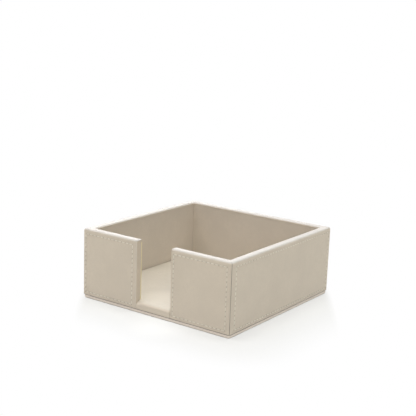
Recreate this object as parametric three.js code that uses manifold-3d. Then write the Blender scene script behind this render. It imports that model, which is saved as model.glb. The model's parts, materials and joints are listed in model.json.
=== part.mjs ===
// A square leather note holder: four leather-wrapped walls on a thin base plate, with a finger notch in front.
// Millimetres, +Z up. The origin is the centre of the underside, and the notch faces -Y.
import * as THREE from "three";
import { mergeVertices } from "three/addons/utils/BufferGeometryUtils.js";
import Module from "manifold-3d";

// The whole holder, outside.
const outerWidth = 120;
const outerDepth = 120;
const outerHeight = 48;
const notchWidth = 28;

// The layers of a wall, from the outside in.
const faceLeather = 0.9;
const wallBoardThickness = 3.6;
const liningThickness = 0.9;

// The layers of the base and the floor, from the bottom up.
const feltThickness = 0.5;
const baseLeather = 0.4;
const baseCardThickness = 0.9;
const floorBoardThickness = 5;
const floorLeather = 0.9;

// The edges of the base plate, and how far the felt keeps back from them.
const feltInset = 0.4;
const baseCornerRadius = 2;
const baseEdgeRadius = 0.25;

// The outer leather: its soft edges, its mitres at the corners and what is turned in out of sight.
const rimOuterRadius = 1.5;
const rimInnerRadius = 1.2;
const rimEndRadius = 0.7;
const notchEdgeRadius = 0.6;
const notchInnerRadius = 0.3;
const coverFootRadius = 0.3;
const cornerFoldRadius = 0.3;
const mitreGap = 0.3;
const rimLip = 1.6;
const turnInThickness = 0.5;
const turnInDrop = 10;
const turnInSetback = 1;

// The inner linings and the floor.
const liningSeam = 0.1;
const liningEdgeRadius = 0.3;
const floorClearance = 0.1;
const floorCoverGap = 0.3;
const thresholdRadius = 1.8;
const thresholdDrop = 0.7;

// The stitching: a thread in a pressed groove, each stitch standing up between two holes.
const stitchPitch = 3.08;
const stitchLength = 2.3;
const grooveWidth = 1;
const grooveDepth = 0.3;
const threadWidth = 0.7;
const threadHeight = 0.26;
const holeThreadWidth = 0.3;
const holeThreadHeight = 0.1;
const stitchTopInset = 3.4;
const stitchBottomInset = 2.2;
const stitchSideInset = 3.5;
const frontStitchLeftInset = 1.9;
const frontStitchRightInset = 3.6;
const rightStitchFrontInset = 5;
const rightStitchBackInset = 2.3;

// One length runs every cut past the faces that it opens.
const cutOverrun = 1;
const arcDivisions = 2;

// Heights of the layers.
const cardBottom = feltThickness + baseLeather;
const cardTop = cardBottom + baseCardThickness;
const jointHeight = cardTop + baseLeather;
const boardBottom = jointHeight + turnInThickness;
const boardTop = outerHeight - faceLeather;
const floorBoardTop = cardTop + floorBoardThickness;
const floorTop = floorBoardTop + floorLeather;
const rimLipBottom = outerHeight - rimLip;
const liningTop = rimLipBottom - liningSeam;

// Depths into a wall from its outer face.
const boardInner = faceLeather + wallBoardThickness;
const wallThickness = boardInner + liningThickness;
const rebateDepth = faceLeather + wallBoardThickness / 2;
const turnInFace = boardInner - turnInThickness;

const leatherLook = { color: 0xc4b8a6, roughness: 0.6, metalness: 0 };
const liningLook = { color: 0xb8ac98, roughness: 0.7, metalness: 0 };
const boardLook = { color: 0x9c7f5c, roughness: 0.9, metalness: 0 };
const cardLook = { color: 0x8d8a84, roughness: 0.95, metalness: 0 };
const feltLook = { color: 0xa79b89, roughness: 1, metalness: 0 };
const threadLook = { color: 0xd8cfbf, roughness: 0.8, metalness: 0 };

const wasm = await Module();
wasm.setup();

const holder = new THREE.Group();

// A closed geometry as a solid that can be joined and cut.
function solidFrom(geometry) {
  geometry.deleteAttribute("normal");
  geometry.deleteAttribute("uv");
  const merged = mergeVertices(geometry);
  return new wasm.Manifold(
    new wasm.Mesh({
      numProp: 3,
      vertProperties: merged.attributes.position.array,
      triVerts: new Uint32Array(merged.index.array),
    }),
  );
}

// A solid as a named mesh in a group.
function addPiece(name, solid, look, group = holder) {
  const made = solid.getMesh();
  const geometry = new THREE.BufferGeometry();
  geometry.setAttribute("position", new THREE.BufferAttribute(made.vertProperties, made.numProp));
  geometry.setIndex(new THREE.BufferAttribute(made.triVerts, 1));
  geometry.computeVertexNormals();
  const mesh = new THREE.Mesh(geometry, new THREE.MeshStandardMaterial({ ...look, flatShading: true }));
  mesh.name = name;
  group.add(mesh);
}

// A box between two corners. Its faces lie exactly on the corners' values, so neighbours can touch.
function block(low, high) {
  const geometry = new THREE.BoxGeometry(1, 1, 1);
  const position = geometry.attributes.position;
  for (let i = 0; i < position.count; i++) {
    position.setXYZ(
      i,
      position.getX(i) < 0 ? low[0] : high[0],
      position.getY(i) < 0 ? low[1] : high[1],
      position.getZ(i) < 0 ? low[2] : high[2],
    );
  }
  return solidFrom(geometry);
}

// A shape run along one axis from one value to another. The shape's own two axes are the next two in the
// order X, Y, Z, X: along "z" it is drawn in x and y, along "x" in y and z, along "y" in z and x.
function prism(shape, along, from, to) {
  const settings = { depth: 1, bevelEnabled: false, curveSegments: arcDivisions };
  const geometry = new THREE.ExtrudeGeometry(shape, settings);
  const position = geometry.attributes.position;
  for (let i = 0; i < position.count; i++) {
    const first = position.getX(i);
    const second = position.getY(i);
    const run = position.getZ(i) > 0 ? to : from;
    if (along === "z") position.setXYZ(i, first, second, run);
    if (along === "x") position.setXYZ(i, run, first, second);
    if (along === "y") position.setXYZ(i, second, run, first);
  }
  return solidFrom(geometry);
}

// An outline through corners [first, second, radius], each rounded by its radius where it has one.
function outline(corners) {
  const shape = new THREE.Shape();
  corners.forEach(([x, y, radius = 0], i) => {
    const here = new THREE.Vector2(x, y);
    const before = corners[(i + corners.length - 1) % corners.length];
    const after = corners[(i + 1) % corners.length];
    const back = new THREE.Vector2(before[0], before[1]).sub(here);
    const ahead = new THREE.Vector2(after[0], after[1]).sub(here);
    const start = here.clone();
    const half = Math.acos(back.clone().normalize().dot(ahead.clone().normalize())) / 2;
    const reach = radius / Math.tan(half);
    if (radius > 0) start.addScaledVector(back.clone().normalize(), reach);
    if (i === 0) shape.moveTo(start.x, start.y);
    else shape.lineTo(start.x, start.y);
    if (radius === 0) return;
    const end = here.clone().addScaledVector(ahead.clone().normalize(), reach);
    const middle = back.clone().normalize().add(ahead.clone().normalize()).normalize();
    const centre = here.clone().addScaledVector(middle, radius / Math.sin(half));
    const startAngle = start.clone().sub(centre).angle();
    const endAngle = end.clone().sub(centre).angle();
    shape.absarc(centre.x, centre.y, radius, startAngle, endAngle, back.cross(ahead) > 0);
  });
  shape.closePath();
  return shape;
}

// The four corners of a rectangle, all rounded alike.
function rectangle(lowX, lowY, highX, highY, radius = 0) {
  return outline([
    [lowX, lowY, radius],
    [highX, lowY, radius],
    [highX, highY, radius],
    [lowX, highY, radius],
  ]);
}

// The base plate: card wrapped in leather, with felt under it.
function addBase() {
  const halfWidth = outerWidth / 2;
  const halfDepth = outerDepth / 2;
  const plan = rectangle(-halfWidth, -halfDepth, halfWidth, halfDepth, baseCornerRadius);
  const sideSection = rectangle(-halfDepth, feltThickness, halfDepth, jointHeight, baseEdgeRadius);
  const endSection = rectangle(feltThickness, -halfWidth, jointHeight, halfWidth, baseEdgeRadius);
  const envelope = prism(plan, "z", feltThickness, jointHeight)
    .intersect(prism(sideSection, "x", -halfWidth, halfWidth))
    .intersect(prism(endSection, "y", -halfDepth, halfDepth));

  const cardHalfWidth = halfWidth - baseLeather;
  const cardHalfDepth = halfDepth - baseLeather;
  const cardRadius = Math.max(baseCornerRadius - baseLeather, 0);
  const cardPlan = rectangle(-cardHalfWidth, -cardHalfDepth, cardHalfWidth, cardHalfDepth, cardRadius);
  const card = prism(cardPlan, "z", cardBottom, cardTop);

  const openWidth = outerWidth / 2 - boardInner;
  const openDepth = outerDepth / 2 - boardInner;
  const opening = block(
    [-openWidth, -openDepth, cardTop - baseCardThickness / 2],
    [openWidth, openDepth, jointHeight + cutOverrun],
  );
  addPiece("base_card", card, cardLook);
  addPiece("base_cover", envelope.subtract(card).subtract(opening), leatherLook);

  const feltWidth = halfWidth - feltInset;
  const feltDepth = halfDepth - feltInset;
  const feltPlan = rectangle(-feltWidth, -feltDepth, feltWidth, feltDepth, baseCornerRadius);
  addPiece("underside_felt", prism(feltPlan, "z", 0, feltThickness), feltLook);
}

// The section of the threshold, in y and z: the notch's foot, at a depth in from its own outer face. Its top
// slopes down from the floor to a rounded front.
function thresholdSection(skin, bottom, inner) {
  const front = -outerDepth / 2 + skin;
  const top = floorTop - skin;
  const slopeTop = -outerDepth / 2 + wallThickness + floorCoverGap;
  return outline([
    [inner, bottom],
    [front, bottom, skin > 0 ? 0 : coverFootRadius],
    [front, top - thresholdDrop, Math.max(thresholdRadius - skin, 0)],
    [slopeTop, top],
    [inner, top],
  ]);
}

// The floor: a board between the walls with a tongue in the notch, and leather over both.
function addFloor() {
  const boardHalfWidth = outerWidth / 2 - boardInner - floorClearance;
  const boardHalfDepth = outerDepth / 2 - boardInner - floorClearance;
  const tongueHalf = notchWidth / 2 - floorClearance;
  const tongueBack = -boardHalfDepth + wallThickness;
  const tongue = prism(
    thresholdSection(floorLeather, boardBottom, tongueBack),
    "x",
    -tongueHalf,
    tongueHalf,
  );
  const board = block(
    [-boardHalfWidth, -boardHalfDepth, cardTop],
    [boardHalfWidth, boardHalfDepth, floorBoardTop],
  ).add(tongue);
  addPiece("floor_board", board, boardLook);

  const coverHalfWidth = outerWidth / 2 - wallThickness - floorCoverGap;
  const coverHalfDepth = outerDepth / 2 - wallThickness - floorCoverGap;
  const turnInEnd = -outerDepth / 2 + boardInner;
  const sheet = block(
    [-coverHalfWidth, -coverHalfDepth, floorBoardTop],
    [coverHalfWidth, coverHalfDepth, floorTop],
  );
  const wrap = prism(thresholdSection(0, jointHeight, tongueBack), "x", -tongueHalf, tongueHalf);
  const beyondTurnIn = block(
    [-outerWidth, turnInEnd, 0],
    [outerWidth, outerDepth, floorBoardTop],
  );
  const cover = wrap.subtract(tongue).subtract(beyondTurnIn).add(sheet);
  addPiece("floor_cover", cover, leatherLook);
}

// One point of the thread's loop: the feet of its two sides, and the ridge between them.
function threadStation(x, z, acrossX, acrossZ, halfWidth, height) {
  return [
    [x - acrossX * halfWidth, grooveDepth, z - acrossZ * halfWidth],
    [x, grooveDepth - height, z],
    [x + acrossX * halfWidth, grooveDepth, z + acrossZ * halfWidth],
  ];
}

// The thread round a panel, one closed loop. Each stitch stands up between two holes, where the thread is low
// and narrow, and the holes at the corners serve both rows.
function threadSolid(left, right, bottom, top) {
  const corners = [[left, bottom], [right, bottom], [right, top], [left, top]];
  const stations = [];
  corners.forEach(([x, z], i) => {
    const [nextX, nextZ] = corners[(i + 1) % corners.length];
    const length = Math.hypot(nextX - x, nextZ - z);
    const alongX = (nextX - x) / length;
    const alongZ = (nextZ - z) / length;
    const count = Math.max(Math.round(length / stitchPitch), 1);
    const pitch = length / count;
    const rise = Math.max(pitch - stitchLength, holeThreadWidth) / 2;
    for (let k = 0; k < count; k++) {
      const at = (run) => [x + alongX * run, z + alongZ * run];
      const turnX = k === 0 ? alongX : 0;
      const turnZ = k === 0 ? alongZ : 0;
      const across = [turnX - alongZ, turnZ + alongX];
      const hole = pitch * k;
      stations.push(threadStation(...at(hole), ...across, holeThreadWidth / 2, holeThreadHeight));
      for (const run of [hole + rise, hole + pitch - rise]) {
        stations.push(threadStation(...at(run), -alongZ, alongX, threadWidth / 2, threadHeight));
      }
    }
  });
  const geometry = new THREE.BufferGeometry();
  const sides = stations[0].length;
  const index = [];
  stations.forEach((station, i) => {
    const here = i * sides;
    const next = ((i + 1) % stations.length) * sides;
    for (let side = 0; side < sides; side++) {
      const other = (side + 1) % sides;
      index.push(here + side, next + side, next + other);
      index.push(here + side, next + other, here + other);
    }
  });
  geometry.setAttribute("position", new THREE.Float32BufferAttribute(stations.flat(2), sides));
  geometry.setIndex(index);
  return solidFrom(geometry);
}

// The groove that the thread lies in.
function grooveSolid(left, right, bottom, top) {
  const half = grooveWidth / 2;
  const whole = block(
    [left - half, -cutOverrun, bottom - half],
    [right + half, grooveDepth, top + half],
  );
  const island = block(
    [left + half, -cutOverrun, bottom + half],
    [right - half, grooveDepth, top - half],
  );
  return whole.subtract(island);
}

// The plan of a panel of outer leather, in length and depth. An end at a corner of the box is mitred and its
// edge is folded round, and an end at the notch is square.
function panelPlan(length, start, end) {
  const shift = mitreGap * Math.SQRT1_2;
  const startCorners =
    start > 0
      ? [[start, wallThickness, notchInnerRadius], [start, 0, notchEdgeRadius]]
      : [[shift + wallThickness, wallThickness], [shift, 0, cornerFoldRadius]];
  const endCorners =
    end < length
      ? [[end, 0, notchEdgeRadius], [end, wallThickness, notchInnerRadius]]
      : [[length - shift, 0, cornerFoldRadius], [length - shift - wallThickness, wallThickness]];
  return outline([...startCorners, ...endCorners]);
}

// One panel of a wall: its board, its outer leather, its lining and its thread. In the panel's own frame x
// runs along the wall from its left end as seen from outside, y into the wall from its face, and z is up.
function addPanel(name, group, length, start, end, rebated, stitchLeft, stitchRight) {
  const startsAtNotch = start > 0;
  const endsAtNotch = end < length;
  const shared = rebated ? faceLeather : rebateDepth;
  const boardStart = startsAtNotch ? start + faceLeather : shared;
  const boardEnd = endsAtNotch ? end - faceLeather : length - shared;
  const slotStart = startsAtNotch ? boardStart : -cutOverrun;
  const slotEnd = endsAtNotch ? boardEnd : length + cutOverrun;
  const setback = wallThickness + turnInSetback;
  const turnInStart = startsAtNotch ? boardStart + turnInSetback : setback;
  const turnInEnd = endsAtNotch ? boardEnd - turnInSetback : length - setback;

  // The leather on the face, over the rim and under the board's foot.
  const section = outline([
    [0, jointHeight, coverFootRadius],
    [wallThickness, jointHeight],
    [wallThickness, outerHeight, rimInnerRadius],
    [0, outerHeight, rimOuterRadius],
  ]);
  const elevation = outline([
    [jointHeight, start],
    [outerHeight, start, startsAtNotch ? rimEndRadius : 0],
    [outerHeight, end, endsAtNotch ? rimEndRadius : 0],
    [jointHeight, end],
  ]);
  const envelope = prism(panelPlan(length, start, end), "z", jointHeight, outerHeight)
    .intersect(prism(section, "x", start, end))
    .intersect(prism(elevation, "y", 0, wallThickness));
  const boardSlot = block(
    [slotStart, faceLeather, boardBottom],
    [slotEnd, boardInner, boardTop],
  );
  const liningSlot = block(
    [-cutOverrun, boardInner, 0],
    [length + cutOverrun, wallThickness + cutOverrun, rimLipBottom],
  );
  const turnIn = block(
    [turnInStart, turnInFace, rimLipBottom - turnInDrop],
    [turnInEnd, boardInner, boardTop],
  );
  const stitchBottom = jointHeight + stitchBottomInset;
  const stitchTop = outerHeight - stitchTopInset;
  const left = start + stitchLeft;
  const right = end - stitchRight;
  const cover = envelope
    .subtract(boardSlot)
    .subtract(liningSlot)
    .add(turnIn)
    .subtract(grooveSolid(left, right, stitchBottom, stitchTop));
  addPiece(name + "_cover", cover, leatherLook, group);
  addPiece(name + "_stitching", threadSolid(left, right, stitchBottom, stitchTop), threadLook, group);

  // The board, with room for the turned-in leather and, on the front and back, for the side boards.
  let board = block([boardStart, faceLeather, boardBottom], [boardEnd, boardInner, boardTop]);
  board = board.subtract(turnIn);
  const rebates = [
    [startsAtNotch || !rebated, -cutOverrun, boardInner],
    [endsAtNotch || !rebated, length - boardInner, length + cutOverrun],
  ];
  for (const [whole, from, to] of rebates) {
    if (whole) continue;
    board = board.subtract(
      block([from, rebateDepth, 0], [to, boardInner + cutOverrun, outerHeight]),
    );
  }
  addPiece(name + "_board", board, boardLook, group);

  // The lining stands on the edge of the floor board. Side linings end at the front and back ones.
  const liningShort = rebated ? boardInner : wallThickness;
  const liningStart = startsAtNotch ? start : liningShort;
  const liningEnd = endsAtNotch ? end : length - liningShort;
  const liningPlan = outline([
    [liningStart, boardInner],
    [liningEnd, boardInner],
    [liningEnd, wallThickness, endsAtNotch ? liningEdgeRadius : 0],
    [liningStart, wallThickness, startsAtNotch ? liningEdgeRadius : 0],
  ]);
  addPiece(name + "_lining", prism(liningPlan, "z", floorBoardTop, liningTop), liningLook, group);
}

// A wall's group: turned by quarter turns about the centre, with its origin at the wall's left outer corner.
function wallGroup(quarters, length, faceDistance) {
  const turned = new THREE.Group();
  turned.rotation.z = (quarters * Math.PI) / 2;
  const placed = new THREE.Group();
  placed.position.set(-length / 2, -faceDistance, 0);
  turned.add(placed);
  holder.add(turned);
  return placed;
}

function addWalls() {
  const front = wallGroup(0, outerWidth, outerDepth / 2);
  const right = wallGroup(1, outerDepth, outerWidth / 2);
  const back = wallGroup(2, outerWidth, outerDepth / 2);
  const left = wallGroup(3, outerDepth, outerWidth / 2);
  const notchLeft = (outerWidth - notchWidth) / 2;
  const notchRight = (outerWidth + notchWidth) / 2;
  const frontInsets = [frontStitchLeftInset, frontStitchRightInset];
  const rightInsets = [rightStitchFrontInset, rightStitchBackInset];
  const plainInsets = [stitchSideInset, stitchSideInset];
  addPanel("front_left", front, outerWidth, 0, notchLeft, true, ...frontInsets);
  addPanel("front_right", front, outerWidth, notchRight, outerWidth, true, ...frontInsets);
  addPanel("right", right, outerDepth, 0, outerDepth, false, ...rightInsets);
  addPanel("back", back, outerWidth, 0, outerWidth, true, ...plainInsets);
  addPanel("left", left, outerDepth, 0, outerDepth, false, ...plainInsets);
}

addBase();
addFloor();
addWalls();

export default holder;
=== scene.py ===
"""The looks of a leather note holder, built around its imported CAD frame.

Lengths are in millimetres until a mesh is made. Each wall is modelled in its own frame: x runs
along the wall from its left end as seen from outside, y runs into the wall from its outer face,
and z is up.
"""
import json
import math

import bmesh
import bpy
import numpy as np
from mathutils import Matrix, Vector

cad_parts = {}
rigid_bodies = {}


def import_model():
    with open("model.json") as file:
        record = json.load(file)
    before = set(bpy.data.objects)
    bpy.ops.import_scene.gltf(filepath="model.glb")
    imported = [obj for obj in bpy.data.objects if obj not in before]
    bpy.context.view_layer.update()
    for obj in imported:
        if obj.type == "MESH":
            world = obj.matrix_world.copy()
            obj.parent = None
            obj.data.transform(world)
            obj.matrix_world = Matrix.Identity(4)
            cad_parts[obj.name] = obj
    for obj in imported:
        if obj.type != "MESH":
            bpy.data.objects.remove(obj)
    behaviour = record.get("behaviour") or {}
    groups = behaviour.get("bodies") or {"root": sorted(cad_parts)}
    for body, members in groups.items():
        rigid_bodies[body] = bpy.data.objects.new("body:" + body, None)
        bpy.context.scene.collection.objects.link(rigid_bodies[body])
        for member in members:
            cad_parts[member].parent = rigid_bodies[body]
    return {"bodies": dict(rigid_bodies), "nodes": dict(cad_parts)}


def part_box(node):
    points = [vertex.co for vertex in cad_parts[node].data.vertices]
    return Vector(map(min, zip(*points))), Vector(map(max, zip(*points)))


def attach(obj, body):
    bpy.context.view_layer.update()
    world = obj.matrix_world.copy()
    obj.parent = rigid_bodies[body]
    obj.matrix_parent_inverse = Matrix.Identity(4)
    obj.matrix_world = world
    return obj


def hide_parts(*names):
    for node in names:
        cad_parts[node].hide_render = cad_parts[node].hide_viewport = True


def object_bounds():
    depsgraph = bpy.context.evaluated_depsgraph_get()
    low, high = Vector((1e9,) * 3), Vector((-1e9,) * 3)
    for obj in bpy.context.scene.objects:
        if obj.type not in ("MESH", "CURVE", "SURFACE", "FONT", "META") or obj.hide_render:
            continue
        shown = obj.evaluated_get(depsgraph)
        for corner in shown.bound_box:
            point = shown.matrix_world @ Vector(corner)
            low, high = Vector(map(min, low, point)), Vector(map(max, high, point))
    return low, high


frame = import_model()
cad_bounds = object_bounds()

MM = 0.001
ROOT = next(iter(frame["bodies"]))
OUTER_WIDTH, OUTER_DEPTH = ((cad_bounds[1] - cad_bounds[0]) / MM)[:2]

# Where the photograph was taken from, solved from the holder's straight edges.
CAMERA_PLACE = (358.8, -504.1, 204.65)
CAMERA_AZIMUTH = 35.604
CAMERA_ELEVATION = 13.023
CAMERA_ROLL = 2.055
FOCAL_PIXELS = 939.8
IMAGE_PIXELS = 416
SENSOR_WIDTH = 36.0
CLIP_START = 0.01
CLIP_END = 100

# The walls: name, quarter turns about the centre, and which of the two ends stand at the notch.
WALLS = (
    ("front_left", 0, False, True),
    ("front_right", 0, True, False),
    ("right", 1, False, False),
    ("back", 2, False, False),
    ("left", 3, False, False),
)

# Grid lines: how far apart and how close they may stand, and how near one lies to each fold.
WIDEST_STEP = 1.2
FLOOR_STEP = 3.0
CLOSEST_STEP = 0.075
EDGE_MARGIN = 0.1
ARC_STEPS = 7
STRAIGHT_STEPS = 4

# Folds and edges of the outer leather.
RIM_OUTER_RADIUS = 1.4
RIM_INNER_RADIUS = 1.25
FOOT_RADIUS = 0.28
FOOT_STEPS = 3
LIP_EDGE_RADIUS = 0.2
LIP_STEPS = 4
LIP_SEAM = 0.04
LIP_FILLET = 1.8
JOINT_GAP = 0.11

# The panels' ends: their rolls, the gaps at the corners, and how far they pull the leather along.
SEAM_ROLL = 0.3
RIM_SEAM_ROLL = 0.09
NOTCH_ROLL = 0.55
NOTCH_LIP_ROLL = 0.3
NOTCH_FOOT_ROLL = 0.2
MITRE_GAP = 0.13
RIM_MITRE_GAP = 0.02
SHEAR_LENGTH = 12.0
ROLL_ANGLES = (0, 5, 18, 36, 54, 72)

# What is painted on the leather: wear on its folds, and painted shade in the mitres' gaps, the
# needle holes, on the notch's end faces and underneath.
END_WEAR = 0.3
FOOT_WEAR = 0.5
CAP_SHADE = 0.12
HOLE_SHADE = 0.8
UNDERSIDE_POWER = 4

# A normal's share along an axis that counts as square to a face and as facing up, and what the
# larger share lacks halfway round a fold.
SQUARE_SHARE = 0.999
UPWARD_SHARE = 0.7
FOLD_LACK = 0.293

# The stitching, and how the leather gives way to it.
STITCH_PITCH = 3.08
CAD_THREAD_HALF = 0.35
HOLE_OFFSETS = (-0.77, -0.37, -0.15, 0, 0.15, 0.37, 0.77)
GROOVE_DEPTH = 0.1
GROOVE_REACH = 0.6
HOLE_DEPTH = 0.36
HOLE_REACH = 0.28
HOLE_INSET = 0.2
PUFF_HEIGHT = 0.03
PUFF_PLACE = 1.5
PUFF_REACH = 0.7
PLY_RADIUS = 0.19
PLY_OFFSET = 0.14
PLY_THINNING = 0.35
PLY_SIDES = 6
PLY_STEPS = 14
TWISTS_PER_STITCH = 1.5
PHASE_PER_STITCH = 2.1
THREAD_DEPTH = 0.08
THREAD_DIVE = 0.5
DIVE_POWER = 4

# The leather's slow waves: their height, and their lengths along, up and on the slant.
WAVE_HEIGHT = 0.035
FACE_WAVE = (11, 9, 31)
FACE_RIPPLE = (5.3, 7.7)
RIPPLE_SHARE = 0.5
LINING_WAVE = (13, 8, 29)
FLOOR_WAVE = (17, 13)
FLOOR_WAVE_PHASE = 1

# The linings.
LINING_ROLL = 0.3
LINING_ROLL_STEPS = 4
LINING_STEPS = 24
CUT_EDGE_ROLL = 0.15
CORNER_CALM = 6.0

# The floor's leather, its threshold, and the threshold's left end, which droops.
FLOOR_EDGE_ROLL = 0.32
FLOOR_EDGE_ANGLES = (0, 40, 65, 90)
THRESHOLD_RADIUS = 1.8
THRESHOLD_DROP = 0.7
THRESHOLD_STEPS = 12
TONGUE_CLEARANCE = 0.1
TONGUE_END_ROLL = 0.15
DROOP_WIDTH = 7.0
DROOP_DROP = 3.3
DROOP_LINES = np.linspace(0.15, 1, 7)
# A painted pool of light on the floor behind the notch, in place of the light that comes in
# through it.
LIGHT_POOL_PLACE = (-8.0, -45.0)
LIGHT_POOL_REACH = (16.0, 21.0)
LIGHT_POOL_FULLNESS = 1.3

# The base.
BASE_EDGE_RADIUS = 0.2
BASE_CORNER_RADIUS = 2.0
LEAST_CORNER_RADIUS = 0.05
CORNER_STEPS = 7
LOOP_SPACING = 2.0
FELT_EDGE_RADIUS = 0.12
FELT_FRAY = 0.08
FRAY_SEED = 7
FRAY_LAG = 3

# The softboxes, in metres: name, azimuth, elevation, watts and colour.
LAMP_SIZE = 0.6
LAMP_DISTANCE = 1.3
PLAIN_LIGHT = (1, 1, 1)
ROSE_LIGHT = (1, 0.943, 1)
LAMPS = (
    ("overhead", 0, 90, 10.3, PLAIN_LIGHT),
    ("behind", 90, 25, 3.1, PLAIN_LIGHT),
    ("behind_left", 135, 25, 3.1, PLAIN_LIGHT),
    ("left", 180, 25, 4.5, PLAIN_LIGHT),
    ("front_right", 315, 25, 4.9, PLAIN_LIGHT),
    ("high_right", 45, 55, 1.8, PLAIN_LIGHT),
    ("high_front_left", 225, 55, 3.5, ROSE_LIGHT),
)
AMBIENT = 0.08

# The table, in metres: how white its painted glow is near the holder, dimmer there as a painted
# shadow, how much of it glows there and so shines on the holder as painted light, how soon it is
# plain white, and a painted pool of light where light falls through the notch.
TABLE_REACH = 30.0
TABLE_COLOUR = (0.855, 0.86, 0.81, 1)
NEAR_WHITE = 0.86
NEAR_SHARE = 0.6
WHITE_DISTANCE = 0.045
SHADOW_SCALE = (0.86, 1, 1)
SIDE_START = 0.08
SIDE_HASTE = 6.0
NOTCH_LIGHT_PLACE = (0.015, -0.069, 0)
NOTCH_LIGHT_REACH = 0.028
NOTCH_LIGHT = 0.13

# Colours as they are written, in sRGB.
LEATHER_COLOUR = (210, 198, 180)
# Wear on the folds, and a painted sheen on the rims' lit tops.
WEAR_AND_SHEEN_COLOUR = (199, 195, 189)
LINING_COLOUR = (208, 198, 183)
PLATE_COLOUR = (230, 218, 204)
# The floor's leather where it faces up, a tone painted for the light from above; where it faces
# front it takes the walls' colour.
FLOOR_COLOUR = (203, 195, 179)
# A painted pool of light on the floor behind the notch.
LIGHT_POOL_COLOUR = (217, 209, 193)
THREAD_COLOUR = (228, 222, 208)
EDGE_COLOUR = (236, 224, 184)
FELT_COLOUR = (188, 180, 168)
BOARD_COLOUR = (158, 132, 100)
CARD_COLOUR = (139, 135, 128)

# The leather's finish: the sizes and depths of its grain, its tones as shares of its colour, and
# the range of its roughness.
GRAIN_SIZE = 0.55
GRAIN_EDGE = 0.16
GRAIN_DEPTH = 0.02
GRAIN_TONE = 0.72
GRAIN_STRENGTH = 0.16
WARP_SIZE = 1 / 1.1
WARP_REACH = 0.5
PORE_SIZE = 0.16
PORE_DEPTH = 0.012
MOTTLE_SIZE = 2.4
MOTTLE_TONE = 0.97
BROAD_SIZE = 16.0
PAINTED_SHADE_TONE = 0.3
FRONT_FACING = (-0.8, -0.2)
SMOOTHEST = 0.42
ROUGHEST = 0.5
BOARD_FIBRE = 0.6
CARD_FIBRE = 0.4


def srgb(colour):
    """An sRGB colour, 0 to 255, as the linear colour that a shader takes."""
    shares = [value / 255 for value in colour]
    return [s / 12.92 if s <= 0.04045 else ((s + 0.055) / 1.055) ** 2.4 for s in shares] + [1]


def smooth(t):
    """A smooth step from 0 to 1."""
    t = np.clip(t, 0, 1)
    return t * t * (3 - 2 * t)


def waves(x, z, lengths, phase):
    """Slow waves from -1 to 1 over a wall."""
    along, up, slant = lengths
    return np.sin(x / along + phase) * np.sin(z / up + x / slant)


def quarter_turns(quarters):
    """The rotation matrix of quarter turns about the vertical."""
    return np.round(Matrix.Rotation(quarters * math.pi / 2, 3, "Z"))


def add_object(name, data):
    """A new object in the scene."""
    made = bpy.data.objects.new(name, data)
    bpy.context.scene.collection.objects.link(made)
    return made


class Skin:
    """The points, faces and painted values of one piece, collected and then made into a mesh."""

    def __init__(self):
        self.points = []
        self.edge = []
        self.painted_shade = []
        self.faces = []
        self.flat = []
        self.slots = []
        self.count = 0

    def add(self, x, y, z, edge=0.0, painted_shade=0.0):
        """Adds an array of points and returns their numbers in the same shape."""
        x, y, z, edge, painted_shade = np.broadcast_arrays(x, y, z, edge, painted_shade)
        self.points.append(np.stack([x, y, z], -1).reshape(-1, 3))
        self.edge.append(edge.ravel())
        self.painted_shade.append(painted_shade.ravel())
        first = self.count
        self.count += x.size
        return np.arange(first, self.count).reshape(x.shape)

    def add_rows(self, rows):
        """Adds rows of points, each a tuple of like arrays, as one grid."""
        return self.add(*(np.concatenate(parts) for parts in zip(*rows)))

    def face(self, corners, flat=False, slot=0):
        """Adds one face, without the corners that repeat."""
        kept = [a for a, b in zip(corners, [*corners[1:], corners[0]]) if a != b]
        if len(kept) < 3:
            return
        self.faces.append([int(k) for k in kept])
        self.flat.append(flat)
        self.slots.append(slot)

    def quads(self, index, around=False, mask=None):
        """Adds a face between each four neighbours of a grid of point numbers."""
        if around:
            index = np.concatenate([index, index[:, :1]], 1)
        quads = np.stack([index[:-1, :-1], index[1:, :-1], index[1:, 1:], index[:-1, 1:]], -1)
        if mask is not None:
            quads = quads[mask]
        for corners in quads.reshape(-1, 4).tolist():
            self.face(corners)

    def build(self, name, materials, quarters=0):
        """Makes the object, turned by quarter turns about the holder's centre."""
        length, distance = wall_size(quarters)
        points = np.concatenate(self.points) - [length / 2, distance, 0]
        mesh = bpy.data.meshes.new(name)
        mesh.from_pydata((points @ quarter_turns(quarters).T * MM).tolist(), [], self.faces)
        mesh.polygons.foreach_set("use_smooth", [not flat for flat in self.flat])
        mesh.polygons.foreach_set("material_index", self.slots)
        for key, values in (("edge", self.edge), ("painted_shade", self.painted_shade)):
            attribute = mesh.attributes.new(key, "FLOAT", "POINT")
            attribute.data.foreach_set("value", np.concatenate(values).astype(np.float32))
        for material in materials:
            mesh.materials.append(material)
        made = bmesh.new()
        made.from_mesh(mesh)
        loose = [v for v in made.verts if not v.link_faces]
        bmesh.ops.delete(made, geom=loose, context="VERTS")
        bmesh.ops.recalc_face_normals(made, faces=made.faces)
        made.to_mesh(mesh)
        made.free()
        return add_object(name, mesh)


def dress(piece, slot, *nodes):
    """Puts a piece in the place of its CAD nodes."""
    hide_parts(*nodes)
    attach(piece, ROOT)


def wall_size(quarters):
    """The length of a wall, and the distance of its face from the centre."""
    if quarters % 2:
        return OUTER_DEPTH, OUTER_WIDTH / 2
    return OUTER_WIDTH, OUTER_DEPTH / 2


def measure(node, quarters=0):
    """The lowest and highest corner of a CAD node in a wall's own frame."""
    length, distance = wall_size(quarters)
    turned = np.array(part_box(node)) / MM @ quarter_turns(-quarters).T
    corners = turned + [length / 2, distance, 0]
    return corners.min(0), corners.max(0)


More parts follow.
